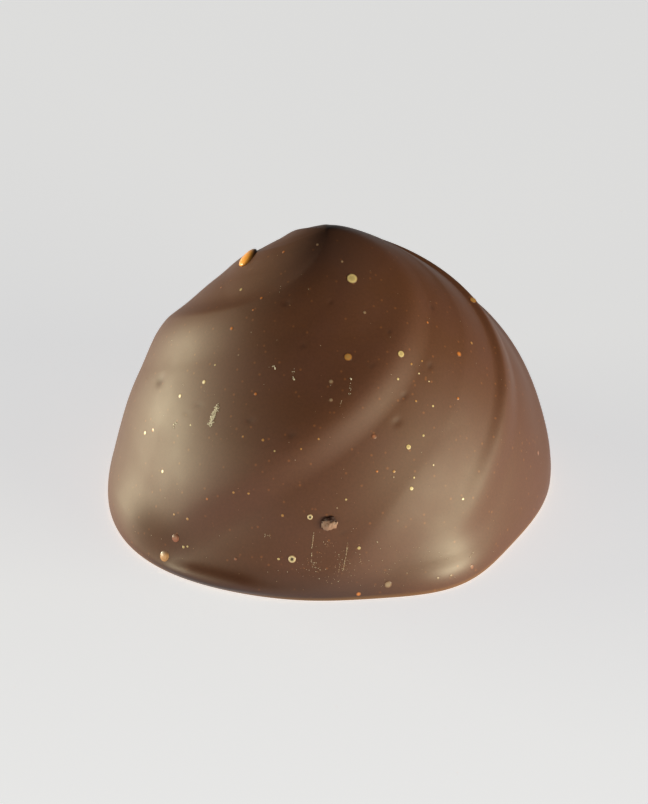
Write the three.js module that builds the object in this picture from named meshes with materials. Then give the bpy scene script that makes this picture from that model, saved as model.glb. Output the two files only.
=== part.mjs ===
// A chocolate praline: one small solid mound of milk chocolate, flat underneath, 30 mm across and 19 mm high.
// Its piped heart left ridges that wind up round the mound to a rounded tip. The coating over them softened the
// ridges, ran down the grooves between them and pooled at the bottom as a low, uneven foot.
import * as THREE from "three";

// Driving dimensions, in millimetres and degrees.
const MOUND_HEIGHT = 18.76;
const MOUND_RADIUS = 14.33;
const FLANK_POWER = 1.41;
const TIP_HEIGHT = 0.52;
const TIP_RADIUS = 4.0;
const BELLY = { right: 0.71, back: -0.71, left: 0.23, front: 0.30 };
const LOW_TURN = 70;
const HIGH_TURN = 106;
const RIDGES = [
  { from: -221, low: 0.51, middle: 0.46, high: 0.14, riserAtFoot: 15, riserAtTip: 27, climb: 2.3 },
  { from: -132, low: 0.22, middle: 0.02, high: 0.07, riserAtFoot: 14, riserAtTip: 28, climb: 3.7 },
  { from: -79, low: 0.03, middle: 0.34, high: 0.21, riserAtFoot: 11, riserAtTip: 22, climb: 1.3 },
  { from: -53, low: 0.13, middle: 0.46, high: 0.38, riserAtFoot: 14, riserAtTip: 26, climb: 3.3 },
  { from: 0, low: 0.30, middle: 0.29, high: 0.18, riserAtFoot: 15, riserAtTip: 35, climb: 4.1 },
  { from: 61, low: 0.20, middle: 0.37, high: 0.27, riserAtFoot: 14, riserAtTip: 46, climb: 3.0 },
];
const GROOVE_DEPTH = 0.17;
const POOLS = [
  { at: -136, reach: 1.26, spread: 38, height: 3.0, edge: 2.6 },
  { at: -58, reach: 0.36, spread: 17, height: 4.0, edge: 2.6 },
  { at: 9, reach: 0.77, spread: 30, height: 3.9, edge: 2.5 },
  { at: 78, reach: 0.60, spread: 20, height: 3.5, edge: 2.6 },
  { at: 128, reach: 0.70, spread: 22, height: 3.5, edge: 2.6 },
  { at: -120, reach: 0.55, spread: 19, height: 1.1, edge: 4.0 },
  { at: -56, reach: 0.72, spread: 17, height: 2.3, edge: 3.0 },
];
const TUCK = { at: -119, depth: 0.90, spread: 20, height: 0.60 };

// The shares of the height at which the ridges are given and between which they show.
const LOW_RISE = 0.1;
const MIDDLE_RISE = 0.5;
const HIGH_RISE = 0.9;
const RIDGES_SHOW_FROM = 0.12;
const RIDGES_FADE_FROM = 0.81;

// How finely the surface is cut. The number of sides is a multiple of four.
const SIDES = 96;
const RINGS = 46;

// Distances shorter than this count as none.
const TINY = 1e-6;

const { clamp, degToRad, euclideanModulo, lerp, mapLinear, radToDeg } = THREE.MathUtils;

// Straight lines through [place, value] pairs.
function between(place, pairs) {
  for (let index = 1; index < pairs.length; index++) {
    const [start, low] = pairs[index - 1];
    const [end, high] = pairs[index];
    if (place <= end) {
      return lerp(low, high, clamp(mapLinear(place, start, end, 0, 1), 0, 1));
    }
  }
  return pairs.at(-1)[1];
}

// The mound without its ridges, at a slope angle that runs from 0 at the foot to 90 degrees at the tip.
function flankPoint(slope) {
  const radius = MOUND_RADIUS * Math.max(Math.cos(slope), 0) ** FLANK_POWER;
  return new THREE.Vector2(radius, MOUND_HEIGHT * Math.sin(slope));
}

// The direction square to that mound at a share of its height: x away from the axis, y up.
function flankNormal(rise) {
  const cosine = Math.sqrt(1 - rise ** 2);
  const inward = MOUND_RADIUS * FLANK_POWER * cosine ** (FLANK_POWER - 1) * rise;
  return new THREE.Vector2(MOUND_HEIGHT * cosine, inward).normalize();
}

// How far the ridges have wound round the mound at a share of its height, in radians.
function ridgeTurn(rise) {
  return degToRad(LOW_TURN * rise + HIGH_TURN * rise ** 3);
}

// How much fuller the mound is at an angle than a round one, most at half its height.
function belly(angle, rise) {
  const { right, back, left, front } = BELLY;
  const mean = (right + back + left + front) / 4;
  const sideways = ((right - left) / 2) * Math.cos(angle) + ((back - front) / 2) * Math.sin(angle);
  const oval = ((right + left - back - front) / 4) * Math.cos(2 * angle);
  return 4 * rise * (1 - rise) * (mean + sideways + oval);
}

// The ridge that an angle lies on, how far past its first groove that is, and how wide the ridge is, in degrees.
function ridgeAt(angle, rise) {
  const around = radToDeg(angle - ridgeTurn(rise));
  for (let index = 0; index < RIDGES.length; index++) {
    const ridge = RIDGES[index];
    const next = RIDGES[(index + 1) % RIDGES.length];
    const width = euclideanModulo(next.from - ridge.from, 360);
    const position = euclideanModulo(around - ridge.from, 360);
    if (position < width) {
      return { ridge, position, width };
    }
  }
  throw new Error("the ridges leave a gap");
}

// Each ridge climbs late and roundly to its crest, then drops over a short riser into the next groove.
function ridgeOffset(angle, rise) {
  const { ridge, position, width } = ridgeAt(angle, rise);
  const riser = lerp(ridge.riserAtFoot, ridge.riserAtTip, rise);
  const slope = width - riser;
  const climbed = position < slope ? (position / slope) ** ridge.climb : (width - position) / riser;
  const depth = between(rise, [[LOW_RISE, ridge.low], [MIDDLE_RISE, ridge.middle], [HIGH_RISE, ridge.high]]);
  const shown = between(rise, [[0, 0], [RIDGES_SHOW_FROM, 1], [RIDGES_FADE_FROM, 1], [1, 0]]);
  return shown * (depth * Math.sin((Math.PI / 2) * climbed) ** 2 - GROOVE_DEPTH);
}

// A soft share that is 1 at the middle angle and falls away on both sides of it, with both given in degrees.
function near(angle, middle, spread) {
  const away = euclideanModulo(radToDeg(angle) - middle + 180, 360) - 180;
  return Math.exp(-((away / spread) ** 2));
}

// How far the pooled foot stands out at an angle and a height, less the tuck under the edge of one pool.
function footReach(angle, height) {
  let reach = -TUCK.depth * near(angle, TUCK.at, TUCK.spread) * Math.exp(-((height / TUCK.height) ** 2));
  for (const pool of POOLS) {
    const thinned = Math.exp(-((height / pool.height) ** pool.edge));
    reach += pool.reach * near(angle, pool.at, pool.spread) * thinned;
  }
  return reach;
}

// How much the rounded tip adds to the height at a distance from the axis.
function tipLift(radius) {
  return TIP_HEIGHT * Math.exp(-((radius / TIP_RADIUS) ** 2));
}

// The smooth mound is turned on a lathe. Then each ring of it is turned with the ridges, so that the mesh
// follows them, and each point is moved out to the ridges, the foot and the tip.
function mound() {
  const outline = [new THREE.Vector2(0, 0)];
  for (let ring = 0; ring <= RINGS; ring++) {
    outline.push(flankPoint((Math.PI / 2) * (ring / RINGS)));
  }
  const geometry = new THREE.LatheGeometry(outline, SIDES);
  geometry.rotateX(Math.PI / 2);
  const points = geometry.getAttribute("position");
  for (let index = 0; index < points.count; index++) {
    const height = Math.max(points.getZ(index), 0);
    const radius = Math.hypot(points.getX(index), points.getY(index));
    if (radius < TINY) {
      points.setXYZ(index, 0, 0, height > TINY ? height + TIP_HEIGHT : 0);
      continue;
    }
    const rise = Math.min(height / MOUND_HEIGHT, 1);
    const side = Math.round((Math.atan2(points.getY(index), points.getX(index)) / (2 * Math.PI)) * SIDES);
    const angle = (2 * Math.PI * euclideanModulo(side, SIDES)) / SIDES + ridgeTurn(rise);
    const normal = flankNormal(rise);
    const offset = ridgeOffset(angle, rise) + belly(angle, rise);
    const reached = radius + normal.x * offset + footReach(angle, height);
    const lifted = height > TINY ? Math.max(height + normal.y * offset, 0) + tipLift(radius) : 0;
    points.setXYZ(index, reached * Math.cos(angle), reached * Math.sin(angle), lifted);
  }
  geometry.computeVertexNormals();
  return geometry;
}

// The praline stands on its flat base, with the middle of its outline over the origin.
function centred(geometry) {
  geometry.computeBoundingBox();
  const middle = geometry.boundingBox.getCenter(new THREE.Vector3());
  geometry.translate(-middle.x, -middle.y, 0);
  return geometry;
}

const chocolate = new THREE.MeshStandardMaterial({ color: 0x5c3d2b, roughness: 0.45, metalness: 0 });

const praline = new THREE.Mesh(centred(mound()), chocolate);
praline.name = "praline";

const part = new THREE.Group();
part.add(praline);

export default part;
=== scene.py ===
import math
import random

import bmesh
import bpy
from mathutils import Matrix, Vector, noise
from mathutils.bvhtree import BVHTree
from mathutils.kdtree import KDTree


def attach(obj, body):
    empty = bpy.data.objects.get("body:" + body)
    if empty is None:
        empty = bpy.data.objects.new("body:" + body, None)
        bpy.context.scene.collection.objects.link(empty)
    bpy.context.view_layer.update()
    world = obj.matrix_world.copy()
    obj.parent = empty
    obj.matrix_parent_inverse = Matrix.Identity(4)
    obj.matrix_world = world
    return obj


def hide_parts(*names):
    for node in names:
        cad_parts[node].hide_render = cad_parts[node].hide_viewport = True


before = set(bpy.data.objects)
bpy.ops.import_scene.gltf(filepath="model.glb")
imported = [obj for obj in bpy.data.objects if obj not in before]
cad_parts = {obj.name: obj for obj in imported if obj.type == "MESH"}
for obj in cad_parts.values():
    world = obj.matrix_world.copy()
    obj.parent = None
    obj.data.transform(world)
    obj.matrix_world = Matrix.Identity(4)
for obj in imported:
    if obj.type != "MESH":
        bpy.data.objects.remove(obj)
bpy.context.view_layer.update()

# The table under the praline: a smooth sheet of white card, lit evenly and a little more strongly in front.
# It isn't part of the praline.
MM = 0.001
TABLE_HALF_WIDTH = 600 * MM
CARD_COLOUR = (0.80, 0.80, 0.81, 1.0)
CARD_LIGHT_COLOUR = (0.96, 0.97, 1.0, 1.0)
CARD_ROUGHNESS = 0.9
CARD_REFLECTION = 0.1
CARD_LIGHT_BACK = {"from": 5 * MM, "strength": 0.615}
CARD_LIGHT_FRONT = {"from": -45 * MM, "strength": 0.70}

table_bm = bmesh.new()
bmesh.ops.create_grid(table_bm, x_segments=1, y_segments=1, size=TABLE_HALF_WIDTH)
table_mesh = bpy.data.meshes.new("table")
table_bm.to_mesh(table_mesh)
table_bm.free()
table = bpy.data.objects.new("table", table_mesh)
bpy.context.scene.collection.objects.link(table)

card = bpy.data.materials.new("white_card")
card.use_nodes = True
card_shader = card.node_tree.nodes["Principled BSDF"]
card_shader.inputs["Base Color"].default_value = CARD_COLOUR
card_shader.inputs["Roughness"].default_value = CARD_ROUGHNESS
card_shader.inputs["Specular IOR Level"].default_value = CARD_REFLECTION
card_shader.inputs["Emission Color"].default_value = CARD_LIGHT_COLOUR
card_place = card.node_tree.nodes.new("ShaderNodeTexCoord")
card_parts = card.node_tree.nodes.new("ShaderNodeSeparateXYZ")
card_light = card.node_tree.nodes.new("ShaderNodeMapRange")
card_light.inputs["From Min"].default_value = CARD_LIGHT_BACK["from"]
card_light.inputs["From Max"].default_value = CARD_LIGHT_FRONT["from"]
card_light.inputs["To Min"].default_value = CARD_LIGHT_BACK["strength"]
card_light.inputs["To Max"].default_value = CARD_LIGHT_FRONT["strength"]
card.node_tree.links.new(card_place.outputs["Object"], card_parts.inputs["Vector"])
card.node_tree.links.new(card_parts.outputs["Y"], card_light.inputs["Value"])
card.node_tree.links.new(card_light.outputs["Result"], card_shader.inputs["Emission Strength"])
table_mesh.materials.append(card)

# The camera: close to the praline, with a long lens that looks down on it from well above the table. It aims
# a little to the left of the middle of the praline's foot, and above it in the picture.
CAMERA_ELEVATION = math.radians(32)
CAMERA_DISTANCE = 250 * MM
AIM_RIGHT = -0.41 * MM
AIM_UP = 5.11 * MM
NEAREST_SEEN = 10 * MM
FILM_HEIGHT = 36.0
LENS = 165.7

view_back = Vector((0, -math.cos(CAMERA_ELEVATION), math.sin(CAMERA_ELEVATION)))
view_up = Vector((0, math.sin(CAMERA_ELEVATION), math.cos(CAMERA_ELEVATION)))
view_right = Vector((1, 0, 0))
camera_place = AIM_RIGHT * view_right + AIM_UP * view_up + CAMERA_DISTANCE * view_back

camera_data = bpy.data.cameras.new("camera")
camera_data.sensor_fit = "VERTICAL"
camera_data.sensor_height = FILM_HEIGHT
camera_data.lens = LENS
camera_data.clip_start = NEAREST_SEEN
camera = bpy.data.objects.new("camera", camera_data)
camera.location = camera_place
camera.rotation_euler = (math.pi / 2 - CAMERA_ELEVATION, 0, 0)
bpy.context.scene.collection.objects.link(camera)
bpy.context.scene.camera = camera
bpy.context.scene.view_settings.view_transform = "Standard"

# Soft studio light: long low panels on the right and the left, a faint one in front, and dim air all round.
# A panel's azimuth is 0 behind the camera and 90 on the right. Angles are in degrees, sizes in metres and
# powers in watts.
AIR_COLOUR = (1.0, 0.99, 1.02, 1.0)
AIR_STRENGTH = 0.038
PANEL_COLOUR = (1.0, 0.93, 0.64)
PANEL_DISTANCE = 0.60
PANELS = [
    {"name": "left_panel", "azimuth": -101, "elevation": 2, "width": 0.52, "height": 0.040, "power": 6.70},
    {"name": "right_panel", "azimuth": 58, "elevation": 2, "width": 0.54, "height": 0.040, "power": 7.30},
    {"name": "front_panel", "azimuth": -53, "elevation": 4, "width": 0.22, "height": 0.050, "power": 0.45},
]

world = bpy.data.worlds.new("studio")
world.use_nodes = True
world.node_tree.nodes["Background"].inputs["Color"].default_value = AIR_COLOUR
world.node_tree.nodes["Background"].inputs["Strength"].default_value = AIR_STRENGTH
bpy.context.scene.world = world


def add_panel(name, azimuth, elevation, width, height, power):
    """A wide soft light that faces the praline."""
    turn = math.radians(azimuth)
    lift = math.radians(elevation)
    out = Vector((math.sin(turn) * math.cos(lift), -math.cos(turn) * math.cos(lift), math.sin(lift)))
    light = bpy.data.lights.new(name, "AREA")
    light.shape = "RECTANGLE"
    light.size = width
    light.size_y = height
    light.energy = power
    light.color = PANEL_COLOUR
    panel = bpy.data.objects.new(name, light)
    panel.location = out * PANEL_DISTANCE
    panel.rotation_euler = out.to_track_quat("Z", "Y").to_euler()
    bpy.context.scene.collection.objects.link(panel)


for panel_values in PANELS:
    add_panel(**panel_values)

# The praline's mound: piped soft with a star nozzle, so that ridges wind up to its tip, then dipped in milk
# chocolate. The coating softened the ridges, ran down their grooves and pooled as a low, uneven foot. It also
# ran smooth over the tip, where all the grooves meet.
MOUND_HEIGHT = 18.76 * MM
MOUND_RADIUS = 14.33 * MM
FLANK_POWER = 1.41
TIP_HEIGHT = 0.52 * MM
TIP_RADIUS = 4.0 * MM
BELLY = {"right": 0.71 * MM, "back": -0.71 * MM, "left": 0.23 * MM, "front": 0.30 * MM}
LOW_TURN = math.radians(70)
HIGH_TURN = math.radians(106)
RIDGES = [
    {"from": -221, "low": 0.51 * MM, "middle": 0.46 * MM, "high": 0.14 * MM, "riser": (15, 27), "climb": 2.3},
    {"from": -132, "low": 0.22 * MM, "middle": 0.02 * MM, "high": 0.07 * MM, "riser": (14, 28), "climb": 3.7},
    {"from": -79, "low": 0.03 * MM, "middle": 0.34 * MM, "high": 0.21 * MM, "riser": (11, 22), "climb": 1.3},
    {"from": -53, "low": 0.13 * MM, "middle": 0.46 * MM, "high": 0.38 * MM, "riser": (14, 26), "climb": 3.3},
    {"from": 0, "low": 0.30 * MM, "middle": 0.29 * MM, "high": 0.18 * MM, "riser": (15, 35), "climb": 4.1},
    {"from": 61, "low": 0.20 * MM, "middle": 0.37 * MM, "high": 0.27 * MM, "riser": (14, 46), "climb": 3.0},
]
GROOVE_DEPTH = 0.17 * MM
LOW_RISE = 0.1
MIDDLE_RISE = 0.5
HIGH_RISE = 0.9
RIDGES_SHOW_FROM = 0.12
RIDGES_FADE_FROM = 0.81
POOLS = [
    {"at": -136, "reach": 1.26 * MM, "spread": 38, "height": 3.0 * MM, "edge": 2.6},
    {"at": -58, "reach": 0.36 * MM, "spread": 17, "height": 4.0 * MM, "edge": 2.6},
    {"at": 9, "reach": 0.77 * MM, "spread": 30, "height": 3.9 * MM, "edge": 2.5},
    {"at": 78, "reach": 0.60 * MM, "spread": 20, "height": 3.5 * MM, "edge": 2.6},
    {"at": 128, "reach": 0.70 * MM, "spread": 22, "height": 3.5 * MM, "edge": 2.6},
    {"at": -120, "reach": 0.55 * MM, "spread": 19, "height": 1.1 * MM, "edge": 4.0},
    {"at": -56, "reach": 0.72 * MM, "spread": 17, "height": 2.3 * MM, "edge": 3.0},
]
TUCK = {"at": -119, "depth": 0.90 * MM, "spread": 20, "height": 0.60 * MM}
FOOT_ROUNDING = 0.22 * MM
SMOOTH_TIP_RADIUS = 3.6 * MM
TIP_SMOOTHINGS = 24
SMOOTHING_SHARE = 0.5
SIDES = 400
RINGS = 225
ROUNDING_RINGS = 5
NO_DISTANCE = 0.001 * MM
MERGE_DISTANCE = 0.0001 * MM


def between(share, values):
    """Straight lines through (place, value) pairs."""
    for (start, low), (end, high) in zip(values, values[1:]):
        if share <= end:
            return low + (high - low) * max(share - start, 0) / (end - start)
    return values[-1][1]


def ridge_turn(rise):
    """How far the ridges have wound round at a share of the height."""
    return LOW_TURN * rise + HIGH_TURN * rise ** 3


def belly(angle, rise):
    """How much fuller the mound is at an angle, most at half its height."""
    right, back, left, front = (BELLY[side] for side in ("right", "back", "left", "front"))
    mean = (right + back + left + front) / 4
    sideways = (right - left) / 2 * math.cos(angle) + (back - front) / 2 * math.sin(angle)
    oval = (right + left - back - front) / 4 * math.cos(2 * angle)
    return 4 * rise * (1 - rise) * (mean + sideways + oval)


def ridge_offset(angle, rise):
    """Each ridge climbs late and roundly to its crest, then drops over a short riser into the next groove."""
    around = math.degrees(angle - ridge_turn(rise))
    for ridge, following in zip(RIDGES, RIDGES[1:] + RIDGES[:1]):
        position = (around - ridge["from"]) % 360
        width = (following["from"] - ridge["from"]) % 360
        if position < width:
            break
    riser_at_foot, riser_at_tip = ridge["riser"]
    riser = riser_at_foot + (riser_at_tip - riser_at_foot) * rise
    if position < width - riser:
        climbed = (position / (width - riser)) ** ridge["climb"]
    else:
        climbed = (width - position) / riser
    depth = between(rise, [
        (LOW_RISE, ridge["low"]), (MIDDLE_RISE, ridge["middle"]), (HIGH_RISE, ridge["high"]),
    ])
    present = between(rise, [(0, 0), (RIDGES_SHOW_FROM, 1), (RIDGES_FADE_FROM, 1), (1, 0)])
    return present * (depth * math.sin(math.pi / 2 * climbed) ** 2 - GROOVE_DEPTH)


def near(angle, middle, spread):
    """A soft share that is 1 at the middle and falls away on both sides. Only the angle is in radians."""
    away = (math.degrees(angle) - middle + 180) % 360 - 180
    return math.exp(-(away / spread) ** 2)


def foot_reach(angle, height):
    """How far the pools stand out at an angle and a height, less the tuck under the edge of one of them."""
    tucked = math.exp(-(height / TUCK["height"]) ** 2)
    reach = -TUCK["depth"] * near(angle, TUCK["at"], TUCK["spread"]) * tucked
    for pool in POOLS:
        thinned = math.exp(-(height / pool["height"]) ** pool["edge"])
        reach += pool["reach"] * near(angle, pool["at"], pool["spread"]) * thinned
    return reach


def on_mound(side, radius, height):
    """Where a point of the smooth mound lies once the ridges and the foot are on it."""
    height = max(height, 0)
    rise = min(height / MOUND_HEIGHT, 1)
    angle = 2 * math.pi * side / SIDES + ridge_turn(rise)
    cosine = math.sqrt(1 - rise ** 2)
    inward = MOUND_RADIUS * FLANK_POWER * cosine ** (FLANK_POWER - 1) * rise
    outward = MOUND_HEIGHT * cosine
    length = math.hypot(inward, outward)
    offset = ridge_offset(angle, rise) + belly(angle, rise)
    reached = radius + offset * outward / length + foot_reach(angle, height)
    tip = TIP_HEIGHT * math.exp(-(radius / TIP_RADIUS) ** 2)
    lifted = max(height + offset * inward / length, 0) + tip
    return Vector((reached * math.cos(angle), reached * math.sin(angle), lifted))


outline = [(0.0, 0.0)]
for step in range(ROUNDING_RINGS):
    bend = math.pi / 2 * step / ROUNDING_RINGS
    inset = FOOT_ROUNDING * (1 - math.sin(bend))
    outline.append((MOUND_RADIUS - inset, FOOT_ROUNDING * (1 - math.cos(bend))))
first_slope = math.asin(FOOT_ROUNDING / MOUND_HEIGHT)
for ring in range(RINGS):
    slope = first_slope + (math.pi / 2 - first_slope) * ring / RINGS
    outline.append((MOUND_RADIUS * math.cos(slope) ** FLANK_POWER, MOUND_HEIGHT * math.sin(slope)))
outline.append((0.0, MOUND_HEIGHT))

mound = bmesh.new()
outline_verts = [mound.verts.new((radius, 0, height)) for radius, height in outline]
outline_edges = [mound.edges.new(pair) for pair in zip(outline_verts, outline_verts[1:])]
bmesh.ops.spin(
    mound, geom=outline_verts + outline_edges, cent=(0, 0, 0), axis=(0, 0, 1), angle=2 * math.pi,
    steps=SIDES, use_merge=True, use_duplicate=False,
)
bmesh.ops.remove_doubles(mound, verts=mound.verts, dist=MERGE_DISTANCE)
for vert in mound.verts:
    radius = math.hypot(vert.co.x, vert.co.y)
    if radius < NO_DISTANCE:
        vert.co.z += TIP_HEIGHT if vert.co.z > 0 else 0
        continue
    side = round(math.atan2(vert.co.y, vert.co.x) / (2 * math.pi) * SIDES) % SIDES
    vert.co = on_mound(side, radius, vert.co.z)
low = Vector([min(vert.co[axis] for vert in mound.verts) for axis in range(3)])
high = Vector([max(vert.co[axis] for vert in mound.verts) for axis in range(3)])
middle = (low + high) / 2
bmesh.ops.translate(mound, verts=mound.verts, vec=(-middle.x, -middle.y, 0))
bmesh.ops.recalc_face_normals(mound, faces=mound.faces)

upper_verts = [vert for vert in mound.verts if vert.co.z > MOUND_HEIGHT / 2]
tip_verts = [vert for vert in upper_verts if vert.co.xy.length < SMOOTH_TIP_RADIUS]
for step in range(TIP_SMOOTHINGS):
    bmesh.ops.smooth_vert(
        mound, verts=tip_verts, factor=SMOOTHING_SHARE, use_axis_x=True, use_axis_y=True, use_axis_z=True,
    )

# A thin bead of coating along the tucked edge at the front left, where a last run of chocolate set on the
# foot. Its ends, like the places of all small things on the coating, are given by their pixels in the
# photograph.
PHOTO_WIDTH = 648
PHOTO_HEIGHT = 804
BEAD_FROM = (164, 563)
BEAD_TO = (268, 589)
BEAD_WIDTH = 0.9 * MM
BEAD_HEIGHT = 0.16 * MM
BEAD_STEPS = 60
BEAD_FADES_OVER = 15

coating_tree = BVHTree.FromBMesh(mound)


def seen_at(across, down):
    """The place on the coating at a pixel of the photograph, and the direction square to the coating."""
    film_right = (across - PHOTO_WIDTH / 2) * FILM_HEIGHT / PHOTO_HEIGHT
    film_up = (PHOTO_HEIGHT / 2 - down) * FILM_HEIGHT / PHOTO_HEIGHT
    sight = (film_right * view_right + film_up * view_up - LENS * view_back).normalized()
    place, square = coating_tree.ray_cast(camera_place, sight)[:2]
    if place is None:
        place, square = coating_tree.find_nearest(camera_place + sight * CAMERA_DISTANCE)[:2]
    return place, square


gloss = mound.verts.layers.float.new("gloss")
mound.normal_update()
crest = KDTree(BEAD_STEPS + 1)
for step in range(BEAD_STEPS + 1):
    across, down = (a + (b - a) * step / BEAD_STEPS for a, b in zip(BEAD_FROM, BEAD_TO))
    crest.insert(seen_at(across, down)[0], step)
crest.balance()
for vert in mound.verts:
    co, step, distance = crest.find(vert.co)
    fade = min(min(step, BEAD_STEPS - step) / BEAD_FADES_OVER, 1)
    vert.co += vert.normal * BEAD_HEIGHT * fade * math.exp(-(distance / (BEAD_WIDTH / 2)) ** 2)
    vert[gloss] = fade * math.exp(-(distance / BEAD_WIDTH) ** 2)
    vert.co.z = max(vert.co.z, 0)
coating_tree = BVHTree.FromBMesh(mound)

# Dents in the coating: bubbles burst while it was soft, and it flowed back and left a shallow hollow, which
# is darkened with painted shade. Each dent is given by its pixel, its width and how dark its painted shade
# is.
DENT_DEPTH_SHARE = 0.10
DENT_REACH_SHARE = 1.5
DENTS = [
    (404, 396, 0.38 * MM, 0.35), (397, 422, 0.50 * MM, 0.25), (430, 366, 0.36 * MM, 0.45),
    (432, 307, 0.34 * MM, 0.40), (389, 332, 0.24 * MM, 0.60), (372, 366, 0.22 * MM, 0.60),
    (291, 435, 0.46 * MM, 0.45), (250, 421, 0.36 * MM, 0.45), (199, 405, 0.28 * MM, 0.40),
    (160, 380, 0.80 * MM, 0.30), (344, 533, 0.26 * MM, 0.45), (303, 345, 0.36 * MM, 0.25),
    (286, 303, 0.40 * MM, 0.30), (330, 302, 0.30 * MM, 0.25), (187, 413, 0.26 * MM, 0.25),
]

vert_finder = KDTree(len(mound.verts))
mound.verts.ensure_lookup_table()
for index, vert in enumerate(mound.verts):
    vert_finder.insert(vert.co, index)
vert_finder.balance()
shade = mound.verts.layers.float.new("shade")
for across, down, width, darkness in DENTS:
    place, square = seen_at(across, down)
    for co, index, distance in vert_finder.find_range(place, width * DENT_REACH_SHARE):
        hollow = math.exp(-(distance / (width / 2)) ** 2)
        vert = mound.verts[index]
        vert.co -= square * DENT_DEPTH_SHARE * width * hollow
        vert[shade] = max(vert[shade], darkness * hollow)

# Painted shade on the coating: its colour is darkened to stand for shade on the tip, in the valley over the
# foot on the left, low at the front, and in the tucked strip at the front left, where the bead's shadow
# falls. The valley is also less glossy, and the lip at the right is glossier.
SOFT_SHADES = [
    {"across": 338, "down": 243, "spread": 3.2 * MM, "darkness": 0.60, "matt": 0.0},
    {"across": 303, "down": 250, "spread": 1.8 * MM, "darkness": 0.32, "matt": 0.0},
    {"across": 144, "down": 533, "spread": 1.9 * MM, "darkness": 0.36, "matt": 0.55},
    {"across": 168, "down": 540, "spread": 1.8 * MM, "darkness": 0.26, "matt": 0.45},
]
GLOSSY_LIP = {"across": 451, "down": 565, "spread": 2.2 * MM}
# Painted shadow under the bead along the tucked strip, and painted shade low at the front.
STRIP_SHADE = {"at": -119, "spread": 19, "height": 1.15 * MM, "darkness": 0.95, "steepness": 2.6}
FRONT_SHADE = {"at": -98, "spread": 24, "height": 2.6 * MM, "darkness": 0.9}

for soft in SOFT_SHADES:
    soft_place = seen_at(soft["across"], soft["down"])[0]
    for vert in mound.verts:
        away = (vert.co - soft_place).length / soft["spread"]
        vert[shade] = max(vert[shade], soft["darkness"] * math.exp(-away ** 2))
        vert[gloss] -= soft["matt"] * math.exp(-away ** 2)
lip_place = seen_at(GLOSSY_LIP["across"], GLOSSY_LIP["down"])[0]
for vert in mound.verts:
    away = (vert.co - lip_place).length / GLOSSY_LIP["spread"]
    vert[gloss] += math.exp(-away ** 2)
    around = math.degrees(math.atan2(vert.co.y, vert.co.x))
    in_strip = math.exp(-((around - STRIP_SHADE["at"]) / STRIP_SHADE["spread"]) ** 4)
    in_strip *= min(max(STRIP_SHADE["steepness"] * (1 - vert.co.z / STRIP_SHADE["height"]), 0), 1)
    in_front = math.exp(-((around - FRONT_SHADE["at"]) / FRONT_SHADE["spread"]) ** 4)
    in_front *= max(1 - vert.co.z / FRONT_SHADE["height"], 0)
    vert[shade] = max(vert[shade], STRIP_SHADE["darkness"] * in_strip, FRONT_SHADE["darkness"] * in_front)

for face in mound.faces:
    face.smooth = True
praline_mesh = bpy.data.meshes.new("praline_coating")
mound.to_mesh(praline_mesh)
mound.free()
praline = bpy.data.objects.new("praline_coating", praline_mesh)
bpy.context.scene.collection.objects.link(praline)

# The coating's surface: milk chocolate with a satin gloss, mottled a little redder. It has a fine grain with
# orange flecks. Where it thins to the table its edge is painted tan, as painted light shining through the
# thin coating. Its painted shade, mixed in as a dark brown, and its gloss come from the mesh.
CHOCOLATE_BROWN = (0.0843, 0.0287, 0.0122, 1.0)
CHOCOLATE_RED = (0.085, 0.028, 0.015, 1.0)
PAINTED_SHADE_BROWN = (0.030, 0.012, 0.009, 1.0)
GRAIN_ORANGE = (0.22, 0.075, 0.022, 1.0)
EDGE_GLOW_TAN = (0.200, 0.098, 0.034, 1.0)
EDGE_HEIGHT = 0.42 * MM
MOTTLE_SIZE = 3.5 * MM
MOTTLE_DETAIL = 3.0
MOTTLE_SPAN = (0.4, 0.65)
MOTTLE_MOST = 0.7
GRAIN_SIZE = 0.16 * MM
GRAIN_DETAIL = 2.0
GRAIN_SPAN = (0.3, 0.7)
GRAIN_TONES = (0.92, 1.08)
FLECK_SPACING = 0.7 * MM
FLECK_RADIUS = 0.11 * MM
FLECK_CORE_SHARE = 0.3
FLECK_MOST = 0.6
SATIN_SPAN = (0.3, 0.7)
SATIN_ROUGHNESS = (0.52, 0.59)
POLISHED_ROUGHNESS = 0.42
MATT_ROUGHNESS = 0.95
PIT_DEPTH = 0.004 * MM
PIT_STRENGTH = 0.5


def new_material(name):
    """An empty material and its shader."""
    material = bpy.data.materials.new(name)
    material.use_nodes = True
    return material, material.node_tree.nodes["Principled BSDF"]


def add_node(material, kind, values, links=()):
    """A node with its values set, and the sockets of other nodes that feed it linked."""
    node = material.node_tree.nodes.new(kind)
    for name, value in values.items():
        if name in node.inputs:
            node.inputs[name].default_value = value
        else:
            setattr(node, name, value)
    for socket, source in links:
        material.node_tree.links.new(source, node.inputs[socket])
    return node


def rescale(material, source, span, results):
    """A node that turns one span of a value into another."""
    spans = {"From Min": span[0], "From Max": span[1], "To Min": results[0], "To Max": results[1]}
    return add_node(material, "ShaderNodeMapRange", spans, [("Value", source)])


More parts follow.
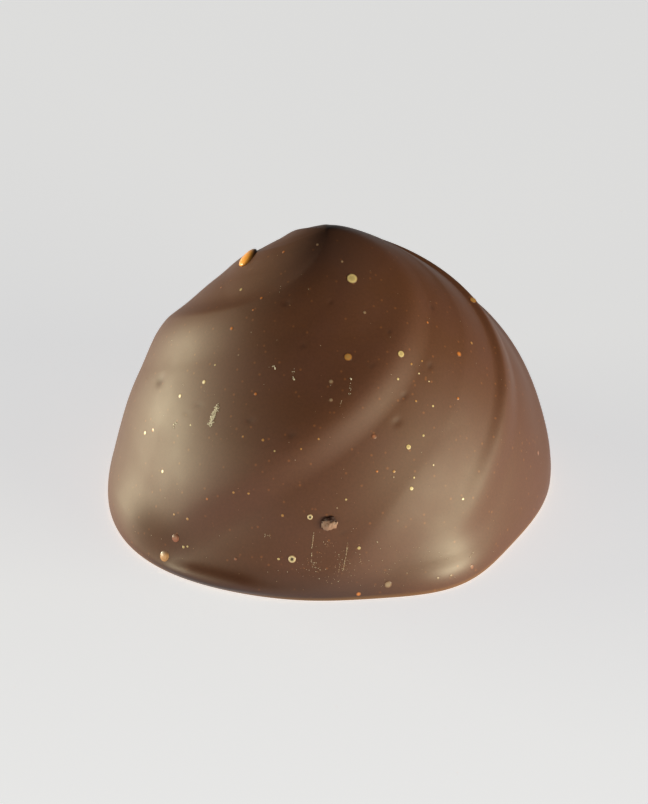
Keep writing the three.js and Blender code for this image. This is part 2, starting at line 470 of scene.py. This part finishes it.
chocolate, chocolate_shader = new_material("coating_chocolate")
where = add_node(chocolate, "ShaderNodeTexCoord", {})
mottle = add_node(chocolate, "ShaderNodeTexNoise", {"Scale": 1 / MOTTLE_SIZE, "Detail": MOTTLE_DETAIL},
                  [("Vector", where.outputs["Object"])])
mottle_share = rescale(chocolate, mottle.outputs["Fac"], MOTTLE_SPAN, (0, MOTTLE_MOST))
mottled = add_node(chocolate, "ShaderNodeMixRGB", {"Color1": CHOCOLATE_BROWN, "Color2": CHOCOLATE_RED},
                   [("Fac", mottle_share.outputs["Result"])])
grain = add_node(chocolate, "ShaderNodeTexNoise", {"Scale": 1 / GRAIN_SIZE, "Detail": GRAIN_DETAIL},
                 [("Vector", where.outputs["Object"])])
grain_tone = rescale(chocolate, grain.outputs["Fac"], GRAIN_SPAN, GRAIN_TONES)
grained = add_node(chocolate, "ShaderNodeVectorMath", {"operation": "SCALE"},
                   [("Vector", mottled.outputs["Color"]), ("Scale", grain_tone.outputs["Result"])])
flecks = add_node(chocolate, "ShaderNodeTexVoronoi", {"Scale": 1 / FLECK_SPACING},
                  [("Vector", where.outputs["Object"])])
fleck_edge = FLECK_RADIUS / FLECK_SPACING
fleck_share = rescale(chocolate, flecks.outputs["Distance"], (fleck_edge, FLECK_CORE_SHARE * fleck_edge),
                      (0, FLECK_MOST))
flecked = add_node(chocolate, "ShaderNodeMixRGB", {"Color2": GRAIN_ORANGE},
                   [("Fac", fleck_share.outputs["Result"]), ("Color1", grained.outputs["Vector"])])
# Painted shade: the mesh's shade darkens the colour towards a dark brown.
painted_shade_share = add_node(chocolate, "ShaderNodeAttribute", {"attribute_name": "shade"})
shaded = add_node(chocolate, "ShaderNodeMixRGB", {"Color2": PAINTED_SHADE_BROWN},
                  [("Fac", painted_shade_share.outputs["Fac"]), ("Color1", flecked.outputs["Color"])])
place_parts = add_node(chocolate, "ShaderNodeSeparateXYZ", {}, [("Vector", where.outputs["Object"])])
# The tan edge is painted light shining through the thin coating at the table.
edge_share = rescale(chocolate, place_parts.outputs["Z"], (EDGE_HEIGHT, 0), (0, 1))
edged = add_node(chocolate, "ShaderNodeMixRGB", {"Color2": EDGE_GLOW_TAN},
                 [("Fac", edge_share.outputs["Result"]), ("Color1", shaded.outputs["Color"])])
satin = rescale(chocolate, mottle.outputs["Fac"], SATIN_SPAN, SATIN_ROUGHNESS)
glossed = add_node(chocolate, "ShaderNodeAttribute", {"attribute_name": "gloss"})
polished = add_node(chocolate, "ShaderNodeMapRange", {"To Max": POLISHED_ROUGHNESS},
                    [("Value", glossed.outputs["Fac"]), ("To Min", satin.outputs["Result"])])
matted = add_node(chocolate, "ShaderNodeMapRange", {"From Max": -1.0, "To Max": MATT_ROUGHNESS},
                  [("Value", glossed.outputs["Fac"]), ("To Min", polished.outputs["Result"])])
pitted = add_node(chocolate, "ShaderNodeBump", {"Strength": PIT_STRENGTH, "Distance": PIT_DEPTH},
                  [("Height", grain.outputs["Fac"])])
chocolate_links = chocolate.node_tree.links
chocolate_links.new(edged.outputs["Color"], chocolate_shader.inputs["Base Color"])
chocolate_links.new(matted.outputs["Result"], chocolate_shader.inputs["Roughness"])
chocolate_links.new(pitted.outputs["Normal"], chocolate_shader.inputs["Normal"])

praline_mesh.materials.append(chocolate)
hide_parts("praline")
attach(praline, "root")

# Air bubbles under the skin: the chocolate set round them, and each lifts a thin film. Each is pale or amber
# with an orange rim, partly the film's own colour and partly painted light shining through it, and the film
# has a faint painted glow. Most are pinheads. Each is given by its pixel, its width in millimetres, and its
# colour, which stands for that of its middle and of its rim.
BUBBLE_COLOURS = {
    "pale": ((0.34, 0.26, 0.12), (0.48, 0.37, 0.17)),
    "amber": ((0.30, 0.17, 0.055), (0.34, 0.15, 0.035)),
    "orange": ((0.44, 0.15, 0.035), (0.26, 0.085, 0.022)),
    "grey": ((0.24, 0.17, 0.11), (0.18, 0.11, 0.065)),
    "white": ((0.66, 0.58, 0.38), (0.44, 0.31, 0.16)),
    "pink": ((0.24, 0.10, 0.055), (0.15, 0.055, 0.03)),
}
BUBBLES = [
    (352.0, 278.5, 0.72, "pale"), (348.0, 357.0, 0.52, "amber"), (401.0, 354.0, 0.46, "pale"),
    (459.0, 354.0, 0.38, "orange"), (473.0, 300.0, 0.50, "amber"), (331.0, 381.5, 0.30, "grey"),
    (331.0, 400.0, 0.26, "grey"), (204.0, 382.0, 0.30, "white"), (180.0, 396.0, 0.28, "white"),
    (231.5, 328.5, 0.26, "orange"), (241.0, 289.5, 0.24, "pale"), (283.5, 252.0, 0.22, "orange"),
    (317.5, 244.5, 0.20, "grey"), (342.0, 261.5, 0.18, "grey"), (364.5, 312.5, 0.23, "grey"),
    (427.5, 322.5, 0.20, "orange"), (471.5, 343.0, 0.22, "amber"), (398.0, 379.0, 0.18, "pale"),
    (411.5, 364.0, 0.17, "amber"), (422.0, 361.0, 0.14, "amber"), (419.0, 373.5, 0.14, "white"),
    (429.0, 381.5, 0.12, "white"), (433.0, 406.0, 0.17, "pale"), (458.0, 398.5, 0.22, "orange"),
    (416.0, 401.0, 0.16, "amber"), (255.5, 394.0, 0.22, "orange"), (263.0, 440.0, 0.20, "amber"),
    (243.0, 436.5, 0.15, "amber"), (408.5, 447.0, 0.34, "pale"), (411.5, 488.5, 0.27, "pale"),
    (394.0, 471.5, 0.20, "amber"), (393.5, 477.0, 0.14, "grey"), (414.0, 477.5, 0.15, "pale"),
    (377.0, 471.5, 0.18, "orange"), (423.5, 435.5, 0.17, "pale"), (433.5, 465.0, 0.13, "white"),
    (282.5, 515.5, 0.20, "amber"), (278.5, 559.0, 0.18, "pale"), (233.5, 492.5, 0.18, "amber"),
    (248.5, 493.5, 0.18, "amber"), (207.0, 499.0, 0.18, "orange"), (153.0, 430.0, 0.28, "orange"),
    (145.0, 433.0, 0.30, "white"), (190.5, 425.0, 0.15, "white"), (162.5, 471.5, 0.26, "white"),
    (359.0, 548.0, 0.24, "pale"), (388.0, 584.5, 0.50, "grey"), (358.5, 594.0, 0.32, "orange"),
    (472.0, 567.0, 0.34, "pink"), (451.0, 575.5, 0.18, "grey"), (438.0, 578.0, 0.18, "grey"),
    (463.0, 499.0, 0.20, "white"), (346.0, 499.5, 0.15, "pale"), (337.0, 508.0, 0.14, "grey"),
    (538.0, 453.0, 0.34, "pink"), (374.0, 436.5, 0.34, "pink"), (183.5, 547.0, 0.20, "pale"),
    (187.5, 546.5, 0.16, "pale"), (174.0, 514.5, 0.16, "amber"), (187.5, 519.0, 0.20, "amber"),
    (235.5, 559.0, 0.22, "pink"), (253.0, 310.0, 0.15, "orange"), (261.5, 298.0, 0.22, "orange"),
    (221.0, 287.5, 0.16, "orange"), (238.5, 355.0, 0.14, "grey"), (215.0, 365.0, 0.14, "pale"),
    (274.5, 451.0, 0.13, "pale"), (318.5, 439.0, 0.15, "amber"), (301.0, 449.0, 0.15, "amber"),
]
SMALL_BUBBLE = 0.25 * MM
BUBBLE_HEIGHT_SHARE = 0.055
MIDDLE_SHARE = 0.35
RIM_SHARE = 0.75
HIDDEN_BUBBLES = 60
HIDDEN_BUBBLE_WIDTHS = (0.12 * MM, 0.40 * MM)
HIDDEN_BUBBLE_COLOURS = ["pale", "amber", "orange", "grey", "orange"]
BACK_ANGLES = (math.radians(15), math.radians(165))
BACK_RISES = (0.03, 0.93)
CHANCE_SEED = 11
FILM_ROUGHNESS = 0.35
# The film's glow is painted light: it stands for light shining through the film.
FILM_GLOW = 0.15
FAR_OUT = 40 * MM


def coating_at(around, height):
    """The place on the coating at an angle and a height, and the direction square to the coating."""
    out = Vector((math.cos(around), math.sin(around), 0))
    return coating_tree.ray_cast(out * FAR_OUT + Vector((0, 0, height)), -out)[:2]


def add_drop(mesh, place, square, width, length, height, turn, fineness):
    """Adds a rounded drop half sunk in the coating, and returns the place of each point in a unit drop."""
    stand = square.to_track_quat("Z", "Y").to_matrix().to_4x4()
    shape = Matrix.Diagonal((width, length, height * 2, 1))
    matrix = Matrix.Translation(place) @ stand @ Matrix.Rotation(turn, 4, "Z") @ shape
    verts = bmesh.ops.create_icosphere(mesh, subdivisions=fineness, radius=0.5)["verts"]
    unit = {vert: vert.co * 2 for vert in verts}
    bmesh.ops.transform(mesh, matrix=matrix, verts=verts)
    return unit


def blend(first, second, share):
    """A colour between two, eased at both ends."""
    eased = min(max(share, 0), 1)
    eased = eased * eased * (3 - 2 * eased)
    return tuple(a + (b - a) * eased for a, b in zip(first[:3], second[:3])) + (1.0,)


def finish_piece(mesh, name, material):
    """The finished mesh as an object of the praline, smooth and in its material."""
    bmesh.ops.recalc_face_normals(mesh, faces=mesh.faces)
    for face in mesh.faces:
        face.smooth = True
    data = bpy.data.meshes.new(name)
    mesh.to_mesh(data)
    mesh.free()
    data.materials.append(material)
    piece = bpy.data.objects.new(name, data)
    bpy.context.scene.collection.objects.link(piece)
    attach(piece, "root")


def toned_material(name, roughness):
    """A material whose colour is painted on the mesh as its tone, its shader, and the tone's own socket."""
    material, shader = new_material(name)
    shader.inputs["Roughness"].default_value = roughness
    tone = add_node(material, "ShaderNodeAttribute", {"attribute_name": "tone"}).outputs["Color"]
    material.node_tree.links.new(tone, shader.inputs["Base Color"])
    return material, shader, tone


def add_bubble(place, square, width, colour):
    """A low dome, coloured from its middle out to its rim and then to the chocolate round it."""
    middle_colour, rim_colour = BUBBLE_COLOURS[colour]
    fineness = 3 if width > SMALL_BUBBLE else 2
    height = BUBBLE_HEIGHT_SHARE * width
    unit = add_drop(bubbles, place, square, width, width, height, turn=0, fineness=fineness)
    for vert, co in unit.items():
        out = co.xy.length
        if out < RIM_SHARE:
            to_rim = (out - MIDDLE_SHARE) / (RIM_SHARE - MIDDLE_SHARE)
            vert[bubble_tone] = blend(middle_colour, rim_colour, to_rim)
        else:
            vert[bubble_tone] = blend(rim_colour, CHOCOLATE_BROWN, (out - RIM_SHARE) / (1 - RIM_SHARE))


bubbles = bmesh.new()
bubble_tone = bubbles.verts.layers.float_color.new("tone")
for across, down, width, colour in BUBBLES:
    add_bubble(*seen_at(across, down), width * MM, colour)
chance = random.Random(CHANCE_SEED)
narrowest, widest = HIDDEN_BUBBLE_WIDTHS
for number in range(HIDDEN_BUBBLES):
    around = chance.uniform(*BACK_ANGLES)
    height = MOUND_HEIGHT * chance.uniform(*BACK_RISES)
    width = narrowest + (widest - narrowest) * chance.random() ** 3
    add_bubble(*coating_at(around, height), width, chance.choice(HIDDEN_BUBBLE_COLOURS))

film, film_shader, film_tone = toned_material("bubble_film", FILM_ROUGHNESS)
# Painted glow: the film shines faintly in its own colour.
film.node_tree.links.new(film_tone, film_shader.inputs["Emission Color"])
film_shader.inputs["Emission Strength"].default_value = FILM_GLOW
finish_piece(bubbles, "air_bubbles", film)

# Burst bubbles: two whose film of chocolate broke before it set. Each is open at the top, with a pale raised
# rim round a hole that is darkened with painted shade. Their film has the same painted glow as the bubbles'.
BURST_BUBBLES = [(310, 517, 0.38 * MM), (292, 559, 0.52 * MM)]
BURST_RIM = (0.52, 0.42, 0.25)
BURST_HOLE_SHADE = (0.020, 0.008, 0.006)
BURST_EDGE = (0.16, 0.07, 0.03)
BURST_HEIGHT_SHARE = 0.14
HOLE_DEPTH_SHARE = 0.18
HOLE_SHARE = 0.32
HOLE_RIM_SHARE = 0.55
PALEST_SHARE = 0.58

bursts = bmesh.new()
burst_tone = bursts.verts.layers.float_color.new("tone")
for across, down, width in BURST_BUBBLES:
    place, square = seen_at(across, down)
    unit = add_drop(bursts, place, square, width, width, BURST_HEIGHT_SHARE * width, turn=0, fineness=3)
    for vert, co in unit.items():
        out = co.xy.length
        if out < HOLE_RIM_SHARE:
            vert.co -= square * HOLE_DEPTH_SHARE * width * (1 - out / HOLE_RIM_SHARE)
            from_hole = (out - HOLE_SHARE) / (PALEST_SHARE - HOLE_SHARE)
            vert[burst_tone] = blend(BURST_HOLE_SHADE, BURST_RIM, from_hole)
        else:
            vert[burst_tone] = blend(BURST_RIM, BURST_EDGE, (out - RIM_SHARE) / (1 - RIM_SHARE))
finish_piece(bursts, "burst_bubbles", film)

# Blisters: three larger ones, where a pocket of air lies under a thin clear film. Each is painted amber on
# the side toward the light, as painted light, and dark on the other side, as painted shade, and its film has
# a painted glow. The lean is how softly the one colour turns into the other.
BLISTERS = [
    {"across": 248, "down": 257.5, "width": 2.0 * MM, "length": 1.3 * MM, "height": 0.25 * MM, "lean": 0.7,
     "lit_from": (-1, 0), "painted_light_colour": (0.74, 0.31, 0.05), "far": (0.030, 0.012, 0.008)},
    {"across": 164.5, "down": 556, "width": 0.70 * MM, "length": 0.75 * MM, "height": 0.09 * MM, "lean": 1.0,
     "lit_from": (0.2, -1), "painted_light_colour": (0.38, 0.19, 0.075), "far": (0.15, 0.085, 0.055)},
    {"across": 175.5, "down": 538, "width": 0.50 * MM, "length": 0.55 * MM, "height": 0.05 * MM, "lean": 0.8,
     "lit_from": (0, -1), "painted_light_colour": (0.22, 0.075, 0.04), "far": (0.12, 0.045, 0.025)},
]
LIT_UNTIL = -0.15

blisters = bmesh.new()
blister_tone = blisters.verts.layers.float_color.new("tone")
for blister in BLISTERS:
    place, square = seen_at(blister["across"], blister["down"])
    size = (blister["width"], blister["length"], blister["height"])
    lit_right, lit_up = blister["lit_from"]
    toward_light = (lit_right * view_right + lit_up * view_up).normalized()
    for vert in add_drop(blisters, place, square, *size, turn=0, fineness=4):
        away = -(vert.co - place).dot(toward_light) / blister["width"] * 2
        turned = (away - LIT_UNTIL) / blister["lean"]
        vert[blister_tone] = blend(blister["painted_light_colour"], blister["far"], turned)
finish_piece(blisters, "blisters", film)

# A crumb of chocolate stuck in the coating at the front: it was scraped off another praline, so it is rough
# and pale. Its upper side is darkened to a deep red as painted shade.
CRUMB_AT = (330, 523.5)
CRUMB_WIDTH = 1.05 * MM
CRUMB_LENGTH = 0.85 * MM
CRUMB_HEIGHT = 0.34 * MM
CRUMB_TURN = 0.3
CRUMB_PINK = (0.24, 0.135, 0.095)
CRUMB_SHADE_RED = (0.030, 0.008, 0.006)
CRUMB_LUMPS = [
    {"fineness": 1.3, "depth": 0.22}, {"fineness": 4.0, "depth": 0.22}, {"fineness": 9.0, "depth": 0.08},
]
# Where the painted shade on the upper side begins, how softly it blends in, and how wavy its border is.
RED_FROM = -0.05
RED_BLEND = 0.4
RED_WAVES = {"fineness": 2.5, "depth": 0.5}
CRUMB_ROUGHNESS = 0.6

crumb = bmesh.new()
crumb_tone = crumb.verts.layers.float_color.new("tone")
crumb_place, crumb_square = seen_at(*CRUMB_AT)
crumb_size = (CRUMB_WIDTH, CRUMB_LENGTH, CRUMB_HEIGHT)
crumb_unit = add_drop(crumb, crumb_place, crumb_square, *crumb_size, turn=CRUMB_TURN, fineness=4)
for vert, co in crumb_unit.items():
    rough = sum(noise.noise(co * lump["fineness"]) * lump["depth"] for lump in CRUMB_LUMPS)
    vert.co += (vert.co - crumb_place) * rough
    upward = (vert.co - crumb_place).dot(view_up) / CRUMB_LENGTH * 2
    wave = RED_WAVES["depth"] * noise.noise(co * RED_WAVES["fineness"])
    vert[crumb_tone] = blend(CRUMB_PINK, CRUMB_SHADE_RED, (upward - RED_FROM - wave) / RED_BLEND)
finish_piece(crumb, "crumb", toned_material("crumb_chocolate", CRUMB_ROUGHNESS)[0])

# Scuffs, scratches and dust: handling roughened the skin in places and left pale grains of cocoa butter on
# it, in patches, in thin lines and over the lower front. Each mark runs from one pixel to another.
SCUFFS = [
    {"from": (209.5, 425), "to": (217.5, 406), "spread": 0.085 * MM, "grains": 170, "size": 0.09 * MM},
    {"from": (173.5, 427.5), "to": (175.5, 422.5), "spread": 0.06 * MM, "grains": 10, "size": 0.09 * MM},
    {"from": (273.0, 365.0), "to": (275.5, 369.0), "spread": 0.05 * MM, "grains": 8, "size": 0.08 * MM},
    {"from": (293.5, 376.5), "to": (293.8, 379.0), "spread": 0.03 * MM, "grains": 4, "size": 0.12 * MM},
    {"from": (292.5, 369.0), "to": (293.5, 374.0), "spread": 0.08 * MM, "grains": 7, "size": 0.05 * MM},
    {"from": (351.0, 376.5), "to": (351.3, 380.0), "spread": 0.03 * MM, "grains": 3, "size": 0.11 * MM},
    {"from": (351.0, 384.0), "to": (349.0, 395.0), "spread": 0.06 * MM, "grains": 12, "size": 0.05 * MM},
]
SCRATCHES = [
    {"from": (313.8, 532.0), "to": (311.8, 549.0), "spread": 0.01 * MM, "grains": 34, "size": 0.055 * MM},
    {"from": (311.8, 552.0), "to": (311.2, 560.0), "spread": 0.02 * MM, "grains": 12, "size": 0.05 * MM},
    {"from": (347.5, 542.5), "to": (346.5, 552.0), "spread": 0.025 * MM, "grains": 26, "size": 0.055 * MM},
    {"from": (346.5, 552.0), "to": (343.0, 571.0), "spread": 0.015 * MM, "grains": 40, "size": 0.055 * MM},
    {"from": (341.0, 560.0), "to": (338.5, 573.0), "spread": 0.03 * MM, "grains": 14, "size": 0.045 * MM},
    {"from": (377.0, 541.0), "to": (379.0, 546.0), "spread": 0.01 * MM, "grains": 9, "size": 0.05 * MM},
    {"from": (470.0, 557.0), "to": (474.0, 552.0), "spread": 0.01 * MM, "grains": 9, "size": 0.05 * MM},
    {"from": (341.5, 399.0), "to": (339.5, 408.0), "spread": 0.03 * MM, "grains": 14, "size": 0.045 * MM},
    {"from": (310.0, 563.0), "to": (318.0, 568.0), "spread": 0.14 * MM, "grains": 16, "size": 0.06 * MM},
    {"from": (324.0, 544.0), "to": (336.0, 543.0), "spread": 0.12 * MM, "grains": 12, "size": 0.045 * MM},
    {"from": (265.0, 535.0), "to": (271.0, 536.0), "spread": 0.06 * MM, "grains": 14, "size": 0.05 * MM},
]
GRAIN_WIDTH_SHARES = (0.5, 1.3)
GRAIN_LENGTH_SHARES = (0.7, 1.5)
GRAIN_HEIGHT_SHARE = 0.35
DUST_PATCH_MIDDLE = (350, 568)
DUST_PATCH_REACH = (90, 26)
DUST_PATCH_BOTTOM = 590
PATCH_DUST = 150
LOOSE_DUST = 240
LOOSE_DUST_RISES = (0.04, 0.95)
DUST_WIDTHS = (0.03 * MM, 0.06 * MM)
DUST_COLOURS = [(0.30, 0.23, 0.16), (0.24, 0.15, 0.09), (0.42, 0.36, 0.27), (0.24, 0.11, 0.05)]
SCUFF_COLOURS = [(0.50, 0.45, 0.35), (0.38, 0.33, 0.25), (0.62, 0.57, 0.47)]
BUTTER_ROUGHNESS = 0.5

grains = bmesh.new()
butter_tone = grains.verts.layers.float_color.new("tone")


def add_grain(place, square, width, colours):
    """A tiny flat grain, turned any way, in one of the colours."""
    size = (width, width * chance.uniform(*GRAIN_LENGTH_SHARES), width * GRAIN_HEIGHT_SHARE)
    unit = add_drop(grains, place, square, *size, turn=chance.uniform(0, math.pi), fineness=1)
    colour = chance.choice(colours)
    for vert in unit:
        vert[butter_tone] = colour + (1.0,)


for marks, colours in ((SCUFFS, SCUFF_COLOURS), (SCRATCHES, DUST_COLOURS)):
    for mark in marks:
        for number in range(mark["grains"]):
            along = chance.random()
            across, down = (a + (b - a) * along for a, b in zip(mark["from"], mark["to"]))
            stray = Vector([chance.gauss(0, mark["spread"]) for axis in range(3)])
            place, square = coating_tree.find_nearest(seen_at(across, down)[0] + stray)[:2]
            add_grain(place, square, mark["size"] * chance.uniform(*GRAIN_WIDTH_SHARES), colours)
for number in range(PATCH_DUST):
    across = chance.gauss(DUST_PATCH_MIDDLE[0], DUST_PATCH_REACH[0] / 2)
    down = chance.gauss(DUST_PATCH_MIDDLE[1], DUST_PATCH_REACH[1] / 2)
    if down < DUST_PATCH_BOTTOM:
        add_grain(*seen_at(across, down), chance.uniform(*DUST_WIDTHS), DUST_COLOURS)
for number in range(LOOSE_DUST):
    height = MOUND_HEIGHT * chance.uniform(*LOOSE_DUST_RISES)
    place, square = coating_at(chance.uniform(0, 2 * math.pi), height)
    add_grain(place, square, chance.uniform(*DUST_WIDTHS), DUST_COLOURS)

finish_piece(grains, "cocoa_butter_grains", toned_material("cocoa_butter_grains", BUTTER_ROUGHNESS)[0])
